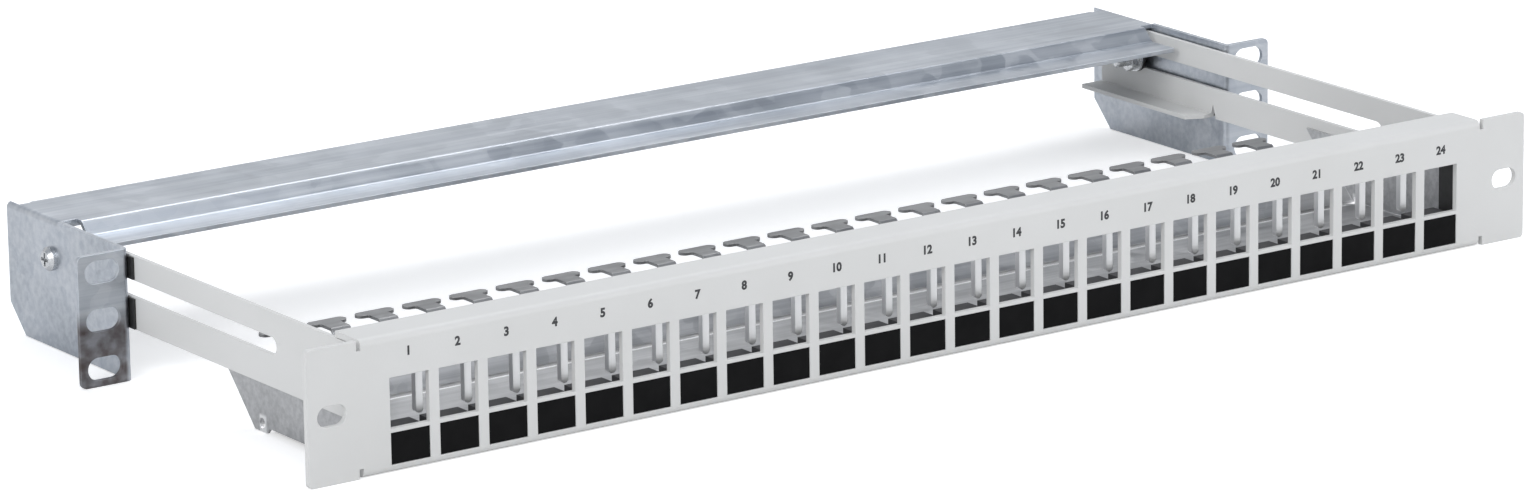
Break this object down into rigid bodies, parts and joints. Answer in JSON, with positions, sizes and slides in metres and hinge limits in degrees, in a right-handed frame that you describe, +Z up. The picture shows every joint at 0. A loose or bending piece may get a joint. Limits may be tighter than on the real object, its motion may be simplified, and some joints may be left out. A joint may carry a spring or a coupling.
{
  "type": "patch panel",
  "caption": "Sliding rack patch panel: a front carrier with a row of empty port windows slides in a folded rear frame with rack ears.",
  "frame": {"origin": "bottom centre of the bounding box, with the carrier pulled out", "axes": "+X along the row of ports to the right, +Y towards the back of the rack, +Z up"},
  "size_m": [0.4826, 0.2134, 0.0436],
  "materials": {
    "powder_coat": "satin",
    "galvanised_tray": "satin",
    "galvanised_frame": "satin",
    "zinc_plated": "gloss",
    "black_plastic": "matte",
    "label_black": "matte"
  },
  "bodies": {
    "frame": {"rear_frame": "galvanised_frame", "left_slide_bolt": "zinc_plated", "left_slide_bush": "black_plastic", "left_slide_washer": "zinc_plated", "left_slide_nut": "zinc_plated", "left_upper_glide": "black_plastic", "left_lower_glide": "black_plastic", "right_slide_bolt": "zinc_plated", "right_slide_bush": "black_plastic", "right_slide_washer": "zinc_plated", "right_slide_nut": "zinc_plated", "right_upper_glide": "black_plastic", "right_lower_glide": "black_plastic"},
    "drawer": {"front_panel": "powder_coat", "left_arm": "powder_coat", "right_arm": "powder_coat", "comb_tray": "galvanised_tray", "module_comb": "powder_coat", "left_end_block": "black_plastic", "right_end_block": "black_plastic", "label_insert_01": "label_black", "label_insert_02": "label_black", "label_insert_03": "label_black", "label_insert_04": "label_black", "label_insert_05": "label_black", "label_insert_06": "label_black", "label_insert_07": "label_black", "label_insert_08": "label_black", "label_insert_09": "label_black", "label_insert_10": "label_black", "label_insert_11": "label_black", "label_insert_12": "label_black", "label_insert_13": "label_black", "label_insert_14": "label_black", "label_insert_15": "label_black", "label_insert_16": "label_black", "label_insert_17": "label_black", "label_insert_18": "label_black", "label_insert_19": "label_black", "label_insert_20": "label_black", "label_insert_21": "label_black", "label_insert_22": "label_black", "label_insert_23": "label_black", "label_insert_24": "label_black"}
  },
  "joints": [
    {"name": "carrier_slide", "type": "slide", "parent": "frame", "child": "drawer", "axis": [0, 1, 0], "range_m": [0, 0.133]}
  ]
}
